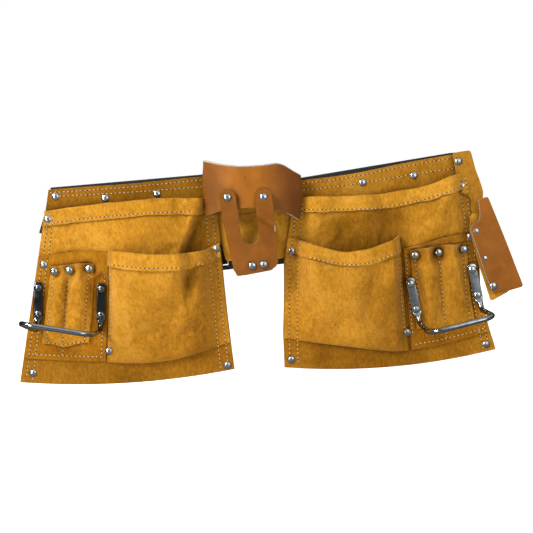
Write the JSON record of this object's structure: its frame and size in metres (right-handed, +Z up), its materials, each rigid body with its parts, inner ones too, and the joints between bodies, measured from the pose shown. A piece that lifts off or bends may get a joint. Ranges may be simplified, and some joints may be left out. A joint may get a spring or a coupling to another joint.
{
  "type": "tool belt",
  "caption": "Carpenter's suede tool belt: pocket pouches either side of a leather tape holder, steel hammer loops, square holder and buckled webbing loop.",
  "frame": {"origin": "middle of the webbing's front run, between the two pouches", "axes": "+X across the belt, -Y forward out of the pockets' fronts, +Z up as it hangs"},
  "size_m": [0.5842, 0.0997, 0.249],
  "materials": {
    "suede": "brushed suede nap",
    "suede_deep": "brushed suede nap, deeper orange",
    "hide": "smooth grain leather, light sheen",
    "webbing": "woven polypropylene webbing",
    "plastic": "moulded acetal",
    "nickel": "nickel plated",
    "chrome_wire": "chrome plated steel rod"
  },
  "bodies": {
    "centre": {"centre_panel": "suede", "centre_webbing": "webbing", "tape_band": "hide", "tape_band_rivets": "nickel", "tape_cradle": "hide", "cradle_backing": "suede", "cradle_top_rivets": "nickel", "cradle_bottom_rivets": "nickel"},
    "left_pouch": {"left_back_panel": "suede", "left_webbing": "webbing", "left_rear_pocket": "suede", "left_front_pocket": "suede", "left_tool_panel": "suede_deep", "left_tool_sleeves": "suede_deep", "left_hammer_loop": "chrome_wire", "left_loop_rivets": "nickel", "left_sleeve_rivets": "nickel", "left_seam_rivets": "nickel"},
    "right_pouch": {"right_back_panel": "suede", "right_webbing": "webbing", "right_rear_pocket": "suede", "right_front_pocket": "suede", "right_tool_panel": "suede_deep", "right_tool_sleeves": "suede_deep", "right_hammer_loop": "chrome_wire", "right_loop_rivets": "nickel", "right_sleeve_rivets": "nickel", "right_seam_rivets": "nickel", "square_strap": "suede", "square_strap_rivets": "nickel"},
    "square_holder": {"square_backing": "suede", "square_sleeve": "hide", "square_sleeve_rivets": "nickel"},
    "left_strap": {"left_strap": "webbing"},
    "right_strap": {"right_strap": "webbing"},
    "housing": {"buckle_housing": "plastic"},
    "insert": {"buckle_insert": "plastic"},
    "upper_prong": {"upper_prong": "plastic"},
    "lower_prong": {"lower_prong": "plastic"},
    "tail": {"strap_tail": "webbing"},
    "keeper": {"strap_keeper": "webbing"}
  },
  "joints": [
    {"name": "wrap", "type": "hinge", "parent": "centre", "child": "left_pouch", "pos_m": [-0.046, -0.0027, 0.01392], "axis": [0, 0, -1], "range_deg": [0, 45]},
    {"name": "right_wrap", "type": "hinge", "parent": "centre", "child": "right_pouch", "pos_m": [0.046, -0.0027, 0.01392], "axis": [0, 0, 1], "range_deg": [0, 45]},
    {"name": "left_turn", "type": "hinge", "parent": "left_pouch", "child": "left_strap", "pos_m": [-0.242, 0.00788, 0.01392], "axis": [0, 0, 1], "range_deg": [0, 90]},
    {"name": "right_turn", "type": "hinge", "parent": "right_pouch", "child": "right_strap", "pos_m": [0.242, 0.00788, 0.01392], "axis": [0, 0, -1], "range_deg": [0, 90]},
    {"name": "buckle_level", "type": "hinge", "parent": "left_strap", "child": "housing", "pos_m": [-0.046, 0.01845, -0.04908], "axis": [0, 0, -1], "range_deg": [0, 45]},
    {"name": "buckle_release", "type": "slide", "parent": "housing", "child": "insert", "axis": [1, 0, 0], "range_m": [0, 0.036]},
    {"name": "tail_turn", "type": "hinge", "parent": "insert", "child": "tail", "pos_m": [0.046, 0.01845, -0.04908], "axis": [0, 0, -1], "range_deg": [0, 45]},
    {"name": "upper_latch", "type": "hinge", "parent": "insert", "child": "upper_prong", "pos_m": [0.016, 0.01845, -0.03208], "axis": [0, 1, 0], "range_deg": [0, 5]},
    {"name": "lower_latch", "type": "hinge", "parent": "insert", "child": "lower_prong", "pos_m": [0.016, 0.01845, -0.06608], "axis": [0, -1, 0], "range_deg": [0, 5]},
    {"name": "holder_swing", "type": "hinge", "parent": "right_pouch", "child": "square_holder", "pos_m": [0.251, -0.01455, -0.04608], "axis": [0, -1, 0], "range_deg": [0, 25]},
    {"name": "keeper_slide", "type": "slide", "parent": "right_strap", "child": "keeper", "axis": [0.9592, 0, 0.2827], "range_m": [-0.01, 0.025]}
  ],
  "couplings": [
    {"joint": "right_wrap", "follows": "wrap", "ratio": 1},
    {"joint": "left_turn", "follows": "wrap", "ratio": 2},
    {"joint": "right_turn", "follows": "wrap", "ratio": 2},
    {"joint": "buckle_level", "follows": "wrap", "ratio": 1},
    {"joint": "tail_turn", "follows": "wrap", "ratio": 1},
    {"joint": "lower_latch", "follows": "upper_latch", "ratio": 1}
  ]
}
